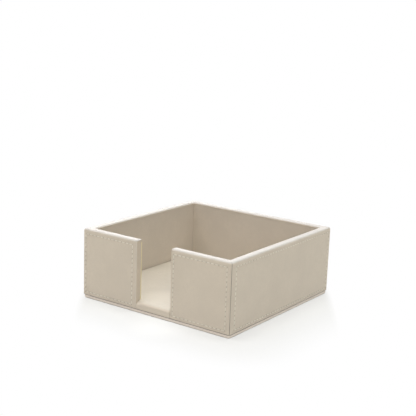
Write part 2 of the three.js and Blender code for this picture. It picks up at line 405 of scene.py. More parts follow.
class Wall:
    """The measures of one panel of a wall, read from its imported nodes."""

    def __init__(self, name, quarters, starts_at_notch, ends_at_notch):
        self.name = name
        self.quarters = quarters
        self.starts_at_notch = starts_at_notch
        self.ends_at_notch = ends_at_notch
        cover_low, cover_high = measure(name + "_cover", quarters)
        board_low, board_high = measure(name + "_board", quarters)
        lining_low, lining_high = measure(name + "_lining", quarters)
        thread_low, thread_high = measure(name + "_stitching", quarters)
        self.length = wall_size(quarters)[0]
        self.start = cover_low[0] if starts_at_notch else 0
        self.end = cover_high[0] if ends_at_notch else self.length
        self.joint, self.top = cover_low[2], cover_high[2]
        self.leather = board_low[1]
        self.board_inner, self.thickness = lining_low[1], lining_high[1]
        self.board_bottom, self.board_top = board_low[2], board_high[2]
        self.lining_low, self.lining_high = lining_low, lining_high
        self.lip_bottom = lining_high[2] + LIP_SEAM
        self.left, self.right = thread_low[0] + CAD_THREAD_HALF, thread_high[0] - CAD_THREAD_HALF
        self.bottom, self.upper = thread_low[2] + CAD_THREAD_HALF, thread_high[2] - CAD_THREAD_HALF
        self.holes_along = hole_places(self.left, self.right)
        self.holes_up = hole_places(self.bottom, self.upper)


def hole_places(first, last):
    """The needle holes of one row, from the first to the last."""
    return np.linspace(first, last, max(round((last - first) / STITCH_PITCH), 1) + 1)


def filled(lines, widest):
    """Lines in order, without near repeats, and with more between those that are too far apart."""
    kept = []
    for line in sorted(lines):
        if kept and line - kept[-1] < CLOSEST_STEP:
            continue
        if kept:
            parts = math.ceil((line - kept[-1]) / widest)
            kept += [kept[-1] + (line - kept[-1]) * k / parts for k in range(1, parts)]
        kept.append(line)
    return np.array(kept)


def face_lines(low, high, holes):
    """Grid lines from low to high, close together at each needle hole and at both ends."""
    near = (holes[:, None] + HOLE_OFFSETS).ravel()
    ends = [low, low + EDGE_MARGIN, high - EDGE_MARGIN, high]
    return filled([*ends, *near[(near > ends[1]) & (near < ends[2])]], WIDEST_STEP)


def point(y, z, normal=(0, 0)):
    """One point in depth and height, with its outward normal where it has one."""
    return np.array([[y, z]]), np.array([normal], float)


def arc(centre, radius, start, stop, steps=ARC_STEPS):
    """Points on an arc in depth and height, with their outward normals."""
    angles = np.radians(np.linspace(start, stop, steps))
    normals = np.stack([np.cos(angles), np.sin(angles)], -1)
    return np.array(centre) + radius * normals, normals


def straight(start, stop, normal, steps=STRAIGHT_STEPS):
    """Points between two ends, without the ends, and their normals."""
    shares = np.linspace(0, 1, steps + 2)[1:-1, None]
    points = np.array(start) + shares * (np.array(stop) - start)
    return points, np.tile(np.array(normal, float), (steps, 1))


def joined(*runs):
    """Several runs of points and normals as one."""
    return np.concatenate([r[0] for r in runs]), np.concatenate([r[1] for r in runs])


def foot_path(inner, joint):
    """A sheet's turned-in foot, from its hidden edge to the front face."""
    return joined(
        point(inner, joint, (0, -1)),
        straight((inner, joint), (FOOT_RADIUS, joint), (0, -1), FOOT_STEPS),
        arc((FOOT_RADIUS, joint + FOOT_RADIUS), FOOT_RADIUS, 270, 180),
    )


def cover_path(wall, heights):
    """The outside of a panel's leather, from its hidden foot over the rim to its lip."""
    face = np.stack([np.zeros_like(heights), heights], -1)[1:-1]
    rim_outer = (RIM_OUTER_RADIUS, wall.top - RIM_OUTER_RADIUS)
    rim_inner = (wall.thickness - RIM_INNER_RADIUS, wall.top - RIM_INNER_RADIUS)
    lip = (wall.thickness - LIP_EDGE_RADIUS, wall.lip_bottom + LIP_EDGE_RADIUS)
    return joined(
        foot_path(wall.board_inner, wall.joint + JOINT_GAP),
        (face, np.tile([-1.0, 0.0], (len(face), 1))),
        arc(rim_outer, RIM_OUTER_RADIUS, 180, 90),
        straight((rim_outer[0], wall.top), (rim_inner[0], wall.top), (0, 1)),
        arc(rim_inner, RIM_INNER_RADIUS, 90, 0),
        arc(lip, LIP_EDGE_RADIUS, 0, -90, LIP_STEPS),
        point(wall.board_inner, wall.lip_bottom, (0, -1)),
    )


def pressed(wall, x, z):
    """How deep the leather lies at a place on a panel's face, and the painted shade in its needle
    holes.
    """
    past_side = np.maximum(wall.left - x, x - wall.right)
    past_end = np.maximum(wall.bottom - z, z - wall.upper)
    from_row = np.abs(np.maximum(past_side, past_end))
    along = np.abs(x[..., None] - wall.holes_along).min(-1)
    up = np.abs(z[..., None] - wall.holes_up).min(-1)
    on_level_row = np.minimum(np.abs(z - wall.bottom), np.abs(z - wall.upper))
    on_upright_row = np.minimum(np.abs(x - wall.left), np.abs(x - wall.right))
    in_span = (x > wall.left - PUFF_REACH) & (x < wall.right + PUFF_REACH)
    in_rise = (z > wall.bottom - PUFF_REACH) & (z < wall.upper + PUFF_REACH)
    level_hole = np.where(in_span, np.hypot(along, on_level_row), STITCH_PITCH)
    upright_hole = np.where(in_rise, np.hypot(up, on_upright_row), STITCH_PITCH)
    from_hole = np.minimum(level_hole, upright_hole)
    groove = np.exp(-((from_row / GROOVE_REACH) ** 2))
    hole = np.exp(-((from_hole / HOLE_REACH) ** 2))
    puff = np.exp(-(((from_row - PUFF_PLACE) / PUFF_REACH) ** 2))
    ripple = np.sin(x / FACE_RIPPLE[0] + z / FACE_RIPPLE[1])
    wave = waves(x, z, FACE_WAVE, wall.quarters) + RIPPLE_SHARE * ripple
    raised = PUFF_HEIGHT * puff
    depth = GROOVE_DEPTH * groove + HOLE_DEPTH * hole - raised + WAVE_HEIGHT * (1 + wave)
    return depth, HOLE_SHADE * hole


def fillet(distance):
    """How far the lip's rounded inner corner stands in, at a distance from its mitre."""
    across = np.clip(LIP_FILLET * math.sqrt(0.5) - distance, 0, None)
    return LIP_FILLET - np.sqrt(LIP_FILLET**2 - across**2)


class CoverEnd:
    """An end of a panel's leather: mitred at a corner, or wrapped round the board at the notch.

    The leather's outline is given by its depths and normals, of which the first seen ones lie
    outside and the rest against the board.
    """

    def __init__(self, wall, at_notch, place, way, y, normals, seen):
        normal_y, normal_z = normals.T
        facing_out, facing_in = np.maximum(-normal_y, 0), np.maximum(normal_y, 0)
        self.way = way
        self.seen = seen
        self.at_notch = at_notch
        self.mitre = 0 if at_notch else 1
        if at_notch:
            self.roll = NOTCH_ROLL + (NOTCH_LIP_ROLL - NOTCH_ROLL) * facing_in
            self.roll += (NOTCH_FOOT_ROLL - NOTCH_ROLL) * np.maximum(-normal_z, 0)
            self.roll[seen:] = wall.leather
        else:
            self.roll = RIM_SEAM_ROLL + (SEAM_ROLL - RIM_SEAM_ROLL) * facing_out
            self.roll[seen:] = SEAM_ROLL
        gap = RIM_MITRE_GAP + (MITRE_GAP - RIM_MITRE_GAP) * facing_out
        gap[seen:] = MITRE_GAP
        self.swell = fillet(0) * facing_in * self.mitre
        self.plane = place + way * gap * self.mitre
        self.flat = self.plane + way * (self.mitre * (y + self.swell) + self.roll)
        self.face_flat = place + way * (NOTCH_ROLL if at_notch else SEAM_ROLL + MITRE_GAP)

    def turned(self, y, z, normals, rolled, underside):
        """The rows of the end's roll, in the order of x."""
        angles = np.radians(ROLL_ANGLES)[:, None]
        inset = self.roll * (1 - np.sin(angles))
        turn_y = y + self.swell - normals[:, 0] * inset
        turn_z = z - normals[:, 1] * inset
        turn_x = self.plane + self.way * (self.mitre * turn_y + self.roll * (1 - np.cos(angles)))
        # Wear and the rim's painted sheen on the roll, and painted shade down into the mitre's
        # gap, underneath, and over the notch's end face.
        edge = np.maximum(END_WEAR * np.sin(2 * angles), rolled)
        painted_shade = np.maximum(self.mitre * (1 - np.sin(angles)) ** 2, underside)
        if self.at_notch:
            turn_x[:, self.seen:] = self.flat[self.seen:]
            edge[0], painted_shade[0] = 0, CAP_SHADE
        return tuple(part[:: self.way] for part in (turn_x, turn_y, turn_z, edge, painted_shade))


def add_cover(wall, material):
    """A panel's outer leather: over the face, the rim and the lip, with mitred or wrapped ends."""
    face_low = wall.joint + JOINT_GAP + FOOT_RADIUS
    face_high = wall.top - RIM_OUTER_RADIUS
    path, normals = cover_path(wall, face_lines(face_low, face_high, wall.holes_up))
    seen = len(path)
    hidden = np.array([
        (wall.board_inner, wall.board_top),
        (wall.leather, wall.board_top),
        (wall.leather, wall.board_bottom),
        (wall.board_inner, wall.board_bottom),
    ])
    y, z = np.concatenate([path, hidden]).T
    normals = np.concatenate([normals, np.zeros_like(hidden)])
    normal_y, normal_z = normals.T
    starts = CoverEnd(wall, wall.starts_at_notch, wall.start, 1, y, normals, seen)
    stops = CoverEnd(wall, wall.ends_at_notch, wall.end, -1, y, normals, seen)

    # The face, drawn along to meet each end, with the lip's corners filled out.
    lines = face_lines(starts.face_flat, stops.face_flat, wall.holes_along)
    x = np.repeat(lines[:, None], len(y), 1)
    depth = np.repeat(y[None], len(lines), 0)
    height = np.repeat(z[None], len(lines), 0)
    for end in (starts, stops):
        share = np.clip(1 - np.abs(lines - end.face_flat) / SHEAR_LENGTH, 0, 1)
        x += share[:, None] * (end.flat - end.face_flat)
    for end in (starts, stops):
        depth += fillet(np.abs(x - end.flat)) * np.maximum(normal_y, 0) * end.mitre

    # What the stitching presses in, with painted shade in its holes, fading out towards the face's
    # own edges.
    sunk, shaded = pressed(wall, x, height)
    margin = np.minimum(lines - lines[0], lines[-1] - lines)[:, None]
    margin = np.minimum(margin, np.minimum(z - face_low, face_high - z)[None])
    on_face = (normal_y < -SQUARE_SHARE) & (z >= face_low) & (z <= face_high)
    fade = smooth(margin / PUFF_REACH) * on_face
    depth += sunk * fade

    # What is painted: wear on the folds, a painted sheen over the rim's lit top, and painted shade
    # underneath.
    underside = np.where(z < face_low, np.maximum(-normal_z, 0) ** UNDERSIDE_POWER, 0)
    rolled = (1 - np.maximum(np.abs(normal_y), np.abs(normal_z))) / FOLD_LACK
    on_top = np.maximum(rolled, normal_z > UPWARD_SHARE)
    rolled = np.where(z < face_low, FOOT_WEAR * rolled, on_top)
    rolled[seen:] = 0
    edge = np.repeat(rolled[None], len(lines), 0)

    skin = Skin()
    index = skin.add_rows([
        starts.turned(y, z, normals, rolled, underside),
        (x, depth, height, edge, shaded * fade + underside),
        stops.turned(y, z, normals, rolled, underside),
    ])
    turns = len(ROLL_ANGLES)
    if starts.at_notch:
        index[:turns, seen:] = index[turns, seen:]
    if stops.at_notch:
        index[-turns:, seen:] = index[-turns - 1, seen:]
    skin.quads(index, around=True)
    for end, loop in ((starts, index[0]), (stops, index[-1])):
        if end.at_notch:
            close_notch_end(skin, loop, seen)
        else:
            skin.face(loop.tolist(), flat=True)
    piece = skin.build(wall.name + "_leather", [material], wall.quarters)
    dress(piece, "leather", wall.name + "_cover")


def close_notch_end(skin, loop, seen):
    """Closes a wrapped end: over the board's end, on its hidden side and along its inner edge."""
    outside, inside = loop[:seen].tolist(), loop[seen:].tolist()
    skin.face(outside, flat=True)
    skin.face(inside, flat=True)
    skin.face([outside[-1], outside[0], inside[-1], inside[0]], flat=True)


def add_stitches(wall, material):
    """The stitches of a panel: two plies twisted together, from one needle hole to the next."""
    skin = Skin()
    corners = [
        (wall.left, wall.bottom),
        (wall.right, wall.bottom),
        (wall.right, wall.upper),
        (wall.left, wall.upper),
    ]
    counts = [len(wall.holes_along) - 1, len(wall.holes_up) - 1] * 2
    share = np.linspace(0, 1, PLY_STEPS)
    turn = np.linspace(0, 2 * math.pi, PLY_SIDES, endpoint=False)
    dive = np.abs(2 * share - 1) ** DIVE_POWER
    slim = 1 - PLY_THINNING * dive
    for side, (corner, count) in enumerate(zip(corners, counts)):
        following = corners[(side + 1) % len(corners)]
        step = (np.array(following) - corner) / count
        pitch = np.hypot(*step)
        along = step / pitch
        run = (HOLE_INSET + share * (pitch - 2 * HOLE_INSET))[:, None]
        for k in range(count):
            hole = np.array(corner) + step * k
            phase = PHASE_PER_STITCH * k + side
            for ply in (0, math.pi):
                angle = phase + ply + TWISTS_PER_STITCH * 2 * math.pi * share
                sway, rise = PLY_OFFSET * np.cos(angle) * slim, PLY_OFFSET * np.sin(angle) * slim
                sway = sway[:, None] + PLY_RADIUS * slim[:, None] * np.cos(turn)
                rise = rise[:, None] + PLY_RADIUS * slim[:, None] * np.sin(turn)
                depth = (THREAD_DEPTH + THREAD_DIVE * dive)[:, None] + rise
                x = hole[0] + along[0] * run - along[1] * sway
                z = hole[1] + along[1] * run + along[0] * sway
                # Painted shade where the plies dive into the needle holes.
                index = skin.add(x, depth, z, painted_shade=dive[:, None] ** 2)
                skin.quads(index, around=True)
                skin.face(index[0].tolist())
                skin.face(index[-1].tolist())
    piece = skin.build(wall.name + "_thread", [material], wall.quarters)
    dress(piece, "thread", wall.name + "_stitching")


def add_lining(wall, leather, raw_edge):
    """A panel's lining: a leather sheet with a soft edge, and a pale cut edge at the notch."""
    low, high = wall.lining_low, wall.lining_high
    edge_height = high[2] - LIP_EDGE_RADIUS
    path, normals = joined(
        point(low[1], low[2]),
        arc((high[1] - LINING_ROLL, low[2] + LINING_ROLL), LINING_ROLL, -90, 0, LINING_ROLL_STEPS),
        straight((high[1], low[2] + LINING_ROLL), (high[1], edge_height), (1, 0), LINING_STEPS),
        point(high[1], edge_height - EDGE_MARGIN, (1, 0)),
        arc((high[1] - LIP_EDGE_RADIUS, edge_height), LIP_EDGE_RADIUS, 0, 90, LIP_STEPS),
        point(low[1], high[2]),
    )
    at_notch = (wall.starts_at_notch, wall.ends_at_notch)
    rolls = [CUT_EDGE_ROLL if here else 0 for here in at_notch]
    rows = []
    for plane, roll, way in ((low[0], rolls[0], 1), (high[0], rolls[1], -1)):
        angles = np.radians(ROLL_ANGLES)[::way, None] if roll else np.zeros((0, 1))
        inset = roll * (1 - np.sin(angles))
        shape = (len(angles), len(path))
        rows.append((
            np.broadcast_to(plane + way * roll * (1 - np.cos(angles)), shape),
            path[:, 0] - normals[:, 0] * inset,
            path[:, 1] - normals[:, 1] * inset,
            np.broadcast_to(np.sin(2 * angles), shape),
        ))
    first, last = low[0] + rolls[0], high[0] - rolls[1]
    lines = filled([first, first + EDGE_MARGIN, last - EDGE_MARGIN, last], FLOOR_STEP)
    shape = (len(lines), len(path))
    x = np.broadcast_to(lines[:, None], shape)
    height = np.broadcast_to(path[:, 1], shape)
    facing = normals[:, 0] > SQUARE_SHARE
    calm = smooth(np.minimum(x - low[0], high[0] - x) / CORNER_CALM)
    wave = WAVE_HEIGHT * (1 + waves(x, height, LINING_WAVE, wall.quarters)) * calm
    rows.insert(1, (x, path[:, 0] - wave * facing, height, np.zeros(shape)))
    skin = Skin()
    index = skin.add_rows(rows)
    skin.quads(index, around=True)
    for here, loop in zip(at_notch, (index[0], index[-1])):
        skin.face(loop.tolist(), flat=True, slot=int(here))
    piece = skin.build(wall.name + "_inner_leather", [leather, raw_edge], wall.quarters)
    dress(piece, "lining", wall.name + "_lining")


def threshold_path(inner, joint, top, depth):
    """The outside of the floor's tongue, from its hidden foot over the threshold to the floor.

    It comes with the normals, and with each point's shift where the tongue droops.
    """
    slope = math.atan2(THRESHOLD_DROP, depth)
    crest_angle = 90 + math.degrees(slope)
    centre = (THRESHOLD_RADIUS, top - THRESHOLD_DROP - THRESHOLD_RADIUS * (1 - slope))
    crest = arc(centre, THRESHOLD_RADIUS, crest_angle, crest_angle, 1)[0][0]
    foot = foot_path(inner, joint)
    path, normals = joined(
        foot,
        straight((0, joint + FOOT_RADIUS), (0, centre[1]), (-1, 0), FOOT_STEPS),
        arc(centre, THRESHOLD_RADIUS, 180, crest_angle, THRESHOLD_STEPS),
        straight(crest, (depth, top), (-math.sin(slope), math.cos(slope))),
    )
    front = len(foot[0])
    fall = np.radians(np.linspace(0, 90, len(path) - front + 1)[:-1])
    drooped = np.stack([depth * (1 - np.cos(fall)), top - DROOP_DROP * (1 - np.sin(fall))], -1)
    shift = np.zeros_like(path)
    shift[front:] = drooped - path[front:]
    return path, normals, shift


def add_floor(walls, material):
    """The floor's leather: a sheet between the walls whose tongue runs out over the threshold."""
    low, high = measure("floor_cover")
    thickness = high[2] - measure("floor_board")[1][2]
    front = walls["front_left"]
    tongue_low = front.end + TONGUE_CLEARANCE
    tongue_high = walls["front_right"].start - TONGUE_CLEARANCE
    sheet_front = front.length - high[1]

    # The grid: the tongue's rows and then the sheet's, by lines from left to right.
    joint = low[2] + JOINT_GAP
    path, normals, shift = threshold_path(front.board_inner, joint, high[2], sheet_front)
    tongue_rows = len(path)
    near = FLOOR_EDGE_ROLL * (1 - np.cos(np.radians(FLOOR_EDGE_ANGLES)))
    near = np.append(near, near[-1] + EDGE_MARGIN)
    depths = filled([*(sheet_front + near), *(high[1] - near)], FLOOR_STEP)
    sheet = np.stack([depths, np.full_like(depths, high[2])], -1)
    path = np.concatenate([path, sheet])
    normals = np.concatenate([normals, np.tile([0.0, 1.0], (len(sheet), 1))])
    shift = np.concatenate([shift, np.zeros_like(sheet)])
    drooping = tongue_low + DROOP_WIDTH * DROOP_LINES
    sides = (low[0] + near, tongue_low - near, tongue_low + near, drooping,
             tongue_high - near, tongue_high + near, high[0] - near)
    x = filled(np.concatenate(sides), FLOOR_STEP)[:, None]
    droop = smooth(1 - (x - tongue_low) / DROOP_WIDTH)
    y, z = path[:, 0] + droop * shift[:, 0], path[:, 1] + droop * shift[:, 1]

    # How far the leather lies in: rounded off at its edges, and waved.
    on_tongue = np.arange(len(path)) < tongue_rows
    beside = np.maximum(tongue_low - x, x - tongue_high)
    ahead = y - sheet_front
    to_front = np.where(beside > 0, ahead, np.hypot(beside, ahead))
    to_side = np.minimum(np.minimum(x - low[0], high[0] - x), high[1] - y)
    distance = np.where(on_tongue[None], -beside, np.minimum(to_front, to_side))
    roll = np.where(on_tongue, TONGUE_END_ROLL, FLOOR_EDGE_ROLL)
    reach = np.clip(roll - distance, 0, roll)
    drop = roll - np.sqrt(roll**2 - reach**2)
    wave = np.sin(x / FLOOR_WAVE[0]) * np.sin(y / FLOOR_WAVE[1] + FLOOR_WAVE_PHASE)
    inset = drop + WAVE_HEIGHT * (1 + wave) * smooth(distance) * (y > sheet_front)

    # A painted pool of light on the floor behind the notch, and painted shade under the tongue.
    pool_x = (x - front.length / 2 - LIGHT_POOL_PLACE[0]) / LIGHT_POOL_REACH[0]
    pool_y = (y - OUTER_DEPTH / 2 - LIGHT_POOL_PLACE[1]) / LIGHT_POOL_REACH[1]
    light_pool = smooth(LIGHT_POOL_FULLNESS * (1 - np.hypot(pool_x, pool_y)))
    underside = np.maximum(-normals[:, 1], 0) ** 2

    skin = Skin()
    top_y, top_z = y - normals[:, 0] * inset, z - normals[:, 1] * inset
    top = skin.add(x, top_y, top_z, edge=light_pool, painted_shade=underside)
    under_y = np.maximum(y - normals[:, 0] * thickness, np.where(on_tongue, thickness, 0))
    under = skin.add(x, under_y, z - normals[:, 1] * thickness)
    inside = (beside <= 0) | ~on_tongue[None]
    mask = inside[:-1, :-1] & inside[1:, 1:] & inside[1:, :-1] & inside[:-1, 1:]
    skin.quads(top, mask=mask)
    skin.quads(under[:, ::-1], mask=mask[:, ::-1])
    add_rims(skin, top, under, mask)
    piece = skin.build("floor_leather", [material])
    dress(piece, "leather", "floor_cover")


def add_rims(skin, top, under, mask):
    """Walls between two like grids, along every edge where their faces end."""
    solid = np.pad(mask, 1)
    for i, j in zip(*np.nonzero(mask)):
        steps = (
            (solid[i, j + 1], (i, j), (i, j + 1)),
            (solid[i + 2, j + 1], (i + 1, j + 1), (i + 1, j)),
            (solid[i + 1, j], (i + 1, j), (i, j)),
            (solid[i + 1, j + 2], (i, j + 1), (i + 1, j + 1)),
        )
        for filled_beside, a, b in steps:
            if not filled_beside:
                skin.face([top[a], top[b], under[b], under[a]])


def rounded_loop(low, high, inset, radius):
    """A rounded rectangle as a loop of points, drawn in by an inset."""
    radius = max(radius - inset, LEAST_CORNER_RADIUS)
    left, front = low[0] + inset + radius, low[1] + inset + radius
    right, back = high[0] - inset - radius, high[1] - inset - radius
    centres = ((right, front), (right, back), (left, back), (left, front))
    sides = (high[1] - low[1], high[0] - low[0])
    loop = []
    for corner, (x, y) in enumerate(centres):
        angles = np.radians(np.linspace(-90, 0, CORNER_STEPS) + 90 * corner)
        points = np.stack([x + radius * np.cos(angles), y + radius * np.sin(angles)], -1)
        following = np.array(centres[(corner + 1) % len(centres)])
        outward = math.radians(90 * corner)
        stop = following + radius * np.array([math.cos(outward), math.sin(outward)])
        steps = round(sides[corner % 2] / LOOP_SPACING)
        shares = np.linspace(0, 1, steps + 1)[1:-1, None]
        loop += [points, points[-1] + shares * (stop - points[-1])]
    return np.concatenate(loop)


def add_stack(name, low, high, levels, material, fray=0.0):
    """A closed plate of level loops, each an inset, a height and a painted shade, with filled
    ends.
    """
    skin = Skin()
    generator = np.random.default_rng(FRAY_SEED)
    loops = []
    for inset, height, painted_shade in levels:
        loop = rounded_loop(low, high, inset, BASE_CORNER_RADIUS)
        jitter = fray * generator.standard_normal(len(loop)) * (inset < BASE_CORNER_RADIUS)
        x, y = (loop + np.array([jitter, np.roll(jitter, FRAY_LAG)]).T).T
        loops.append([np.broadcast_to(value, (1, len(x))) for value in (x, y, height, 0, painted_shade)])
    index = skin.add_rows(loops)
    skin.quads(index, around=True)
    skin.face(index[0].tolist(), flat=True)
    skin.face(index[-1].tolist(), flat=True)
    return skin.build(name, [material])


def add_base(leather, felt):
    """The base plate's leather wrapped round its card, and the felt under it."""
    low, high = measure("base_cover")
    card_low, card_high = measure("base_card")
    wrap = card_low[0] - low[0]
    flange = measure("floor_board")[0][0] - low[0]
    top = high[2] - JOINT_GAP
    r = BASE_EDGE_RADIUS
    angles = np.radians(np.linspace(0, 90, ARC_STEPS))
    bends = [(r * (1 - math.cos(a)), r * (1 - math.sin(a))) for a in angles]
    levels = [
        (flange, low[2], 0),
        *((inset, low[2] + rise, 0) for inset, rise in bends[::-1]),
        (0, low[2] + r + EDGE_MARGIN, 0),
        (0, top - r - EDGE_MARGIN, 0),
        # The last value of each level is painted shade, down the top bend and over the top in the
        # joint's gap.
        *((inset, top - rise, (1 - rise / r) ** 2) for inset, rise in bends),
        (flange, top, 1),
        (flange, card_high[2], 0),
        (wrap, card_high[2], 0),
        (wrap, card_low[2], 0),
        (flange, card_low[2], 0),
    ]
    dress(add_stack("base_leather", low, high, levels, leather), "leather", "base_cover")
    low, high = measure("underside_felt")
    r = FELT_EDGE_RADIUS
    levels = [
        (flange, low[2], 0),
        (r, low[2], 0),
        (0, low[2] + r, 0),
        (0, high[2], 0),
        (flange, high[2], 0),
    ]
    dress(add_stack("base_felt", low, high, levels, felt, FELT_FRAY), "felt", "underside_felt")


class Graph:
    """A node tree that is filled by short calls."""

    def __init__(self, tree):
        self.tree = tree
        tree.nodes.clear()

    def node(self, kind, inputs, **settings):
        """A node with its settings, each input a value or another node's socket."""
        made = self.tree.nodes.new(kind)
        for key, value in settings.items():
            setattr(made, key, value)
        for key, value in inputs.items():
            if isinstance(value, bpy.types.NodeSocket):
                self.tree.links.new(value, made.inputs[key])
            else:
                made.inputs[key].default_value = value
        return made

    def math(self, operation, a, b):
        """A number made from two others."""
        return self.node("ShaderNodeMath", {0: a, 1: b}, operation=operation).outputs[0]

    def vector(self, operation, a, b, result="Vector"):
        """A vector, or with the result Value a number, made from two vectors."""
        made = self.node("ShaderNodeVectorMath", {0: a, 1: b}, operation=operation)
        return made.outputs[result]

    def scaled(self, vector, factor):
        """A vector made longer or shorter."""
        inputs = {0: vector, "Scale": factor}
        return self.node("ShaderNodeVectorMath", inputs, operation="SCALE").outputs[0]

    def mix_values(self, factor, a, b):
        """Two values mixed by a factor."""
        return self.node("ShaderNodeMix", {0: factor, 2: a, 3: b}).outputs[0]

    def range(self, value, from_low, from_high, to_low, to_high):
        """A value mapped smoothly from one range to another."""
        inputs = {
            "Value": value,
            "From Min": from_low,
            "From Max": from_high,
            "To Min": to_low,
            "To Max": to_high,
        }
        made = self.node("ShaderNodeMapRange", inputs, interpolation_type="SMOOTHSTEP")
        return made.outputs[0]

    def seen_by_eye(self):
        """One where a ray is the camera's, or is seen in a reflection or through glass."""
        rays = self.node("ShaderNodeLightPath", {}).outputs
        seen = self.math("MAXIMUM", rays["Is Camera Ray"], rays["Is Glossy Ray"])
        return self.math("MAXIMUM", seen, rays["Is Transmission Ray"])


class Finish(Graph):
    """A piece's material: a principled shader, and textures in millimetres."""

    def __init__(self, name, roughness, sheen=0.0, specular=0.5):
        self.material = bpy.data.materials.new(name)
        self.material.use_nodes = True
        super().__init__(self.material.node_tree)
        fixed = {"Roughness": roughness, "Sheen Weight": sheen, "Specular IOR Level": specular}
        self.shader = self.node("ShaderNodeBsdfPrincipled", fixed)
        self.node("ShaderNodeOutputMaterial", {"Surface": self.shader.outputs[0]})
        place = self.node("ShaderNodeTexCoord", {}).outputs["Object"]
        self.place = self.scaled(place, 1 / MM)

    def noise(self, size, detail, stretch=None, output="Fac"):
        """Noise from 0 to 1 whose lumps are about a size in millimetres."""
        where = self.place if stretch is None else self.vector("MULTIPLY", self.place, stretch)
        inputs = {"Vector": where, "Scale": 1 / size, "Detail": detail}
        return self.node("ShaderNodeTexNoise", inputs).outputs[output]

    def mix(self, factor, a, b):
        """Two colours mixed by a factor."""
        inputs = {0: factor, 6: a, 7: b}
        return self.node("ShaderNodeMix", inputs, data_type="RGBA").outputs[2]

    def tones(self, value, base, dark, light, low=0.3, high=0.7):
        """Darker to lighter tones of a colour, as a value goes from low to high."""
        share = self.range(value, low, high, 0.0, 1.0)
        return self.mix(share, shade(base, dark), shade(base, light))

    def blotched(self, tone, value, colour, low, high, strength):
        """A tone that turns to a colour, up to a strength, as a value goes from low to high."""
        return self.mix(self.range(value, low, high, 0.0, strength), tone, colour)

    def painted(self, tone, name, colour, strength):
        """A tone that turns to a colour where a value is painted on the mesh's points."""
        value = self.node("ShaderNodeAttribute", {}, attribute_name=name).outputs["Fac"]
        return self.mix(self.math("MULTIPLY", value, strength), tone, colour)

    def bump(self, height, strength):
        """A bump whose height is in millimetres."""
        inputs = {"Height": height, "Strength": strength, "Distance": MM}
        return self.node("ShaderNodeBump", inputs).outputs[0]

    def finish(self, colour, normal, roughness=None):
        """The material, with its colour, its bumps and maybe a varied roughness."""
        self.tree.links.new(colour, self.shader.inputs["Base Color"])
        self.tree.links.new(normal, self.shader.inputs["Normal"])
        if roughness is not None:
            self.tree.links.new(roughness, self.shader.inputs["Roughness"])
        return self.material


def shade(colour, factor):
    """A linear colour made darker or lighter."""
    return [min(value * factor, 1) for value in colour[:3]] + [1]


def leather_finish(name, colour, wear_and_light_colour, front=None):
    """Fine-grained, mottled leather with worn edges, a painted sheen on lit tops, painted shade in
    creases, and maybe a front tone painted for how light falls.
    """
    make = Finish(name, roughness=0.46, sheen=0.06, specular=0.5)
    base = srgb(colour)
    warp = make.noise(WARP_SIZE, 2.0, output="Color")
    place = make.vector("ADD", make.place, make.scaled(warp, WARP_REACH))
    inputs = {"Vector": place, "Scale": 1 / GRAIN_SIZE}
    cells = make.node("ShaderNodeTexVoronoi", inputs, feature="DISTANCE_TO_EDGE")
    pebble = make.range(cells.outputs["Distance"], 0.0, GRAIN_EDGE, 0.0, 1.0)
    pores = make.noise(PORE_SIZE, 3.0)
    mottle = make.noise(MOTTLE_SIZE, 3.0)
    tone = make.tones(make.noise(BROAD_SIZE, 2.0), base, dark=0.965, light=1.025)
    mottled = shade(base, MOTTLE_TONE)
    tone = make.blotched(tone, mottle, mottled, low=0.35, high=0.65, strength=0.5)
    in_grain = make.range(pebble, 0.0, 1.0, GRAIN_STRENGTH, 0.0)
    tone = make.mix(in_grain, tone, shade(base, GRAIN_TONE))
    # Wear on folds, a painted sheen on the rims' lit tops, and on the floor a painted pool of
    # light.
    tone = make.painted(tone, "edge", srgb(wear_and_light_colour), strength=0.85)
    # One leather in two tones by which way it faces, painted for how the light falls: its front
    # takes the front colour, its top the greyer floor colour.
    if front is not None:
        normal = make.node("ShaderNodeTexCoord", {}).outputs["Normal"]
        toward = make.node("ShaderNodeSeparateXYZ", {0: normal}).outputs["Y"]
        tone = make.mix(make.range(toward, *FRONT_FACING, 1.0, 0.0), tone, srgb(front))
    # Painted shade in the mitres' gaps, the needle holes, the joint's gap and under folds.
    tone = make.painted(tone, "painted_shade", shade(base, PAINTED_SHADE_TONE), strength=0.7)
    raised = make.math("MULTIPLY", pebble, GRAIN_DEPTH)
    height = make.math("ADD", raised, make.math("MULTIPLY", pores, PORE_DEPTH))
    roughness = make.range(mottle, 0.3, 0.7, SMOOTHEST, ROUGHEST)
    return make.finish(tone, make.bump(height, strength=0.5), roughness)


def raw_edge_finish():
    """The pale cut edge of the lining's leather, with its loose fibres."""
    make = Finish("cut_leather_edge", roughness=0.8)
    fibres = make.noise(0.12, 4.0, stretch=(1, 1, 0.25))
    tone = make.tones(fibres, srgb(EDGE_COLOUR), dark=0.9, light=1.05, low=0.35, high=0.65)
    return make.finish(tone, make.bump(make.math("MULTIPLY", fibres, 0.03), 0.6))


def thread_finish():
    """Pale sewing thread: fine fibres along its plies, with painted shade where it goes into a
    hole.
    """
    make = Finish("sewing_thread", roughness=0.62, sheen=0.15, specular=0.4)
    base = srgb(THREAD_COLOUR)
    fibres = make.noise(0.07, 2.0)
    tone = make.tones(fibres, base, dark=0.9, light=1.05)
    # Painted shade where the thread goes into a hole.
    tone = make.painted(tone, "painted_shade", shade(base, 0.4), strength=0.6)
    return make.finish(tone, make.bump(make.math("MULTIPLY", fibres, 0.03), 0.5))


def felt_finish():
    """Wool felt: tangled fibres and a soft uneven tone."""
    make = Finish("wool_felt", roughness=0.95, sheen=0.3, specular=0.2)
    base = srgb(FELT_COLOUR)
    fibres = make.noise(0.25, 6.0)
    clumps = make.noise(3.0, 3.0)
    tone = make.tones(fibres, base, dark=0.75, light=1.15)
    tone = make.blotched(tone, clumps, shade(base, 0.88), low=0.35, high=0.65, strength=0.4)
    return make.finish(tone, make.bump(make.math("MULTIPLY", fibres, 0.25), 0.8))


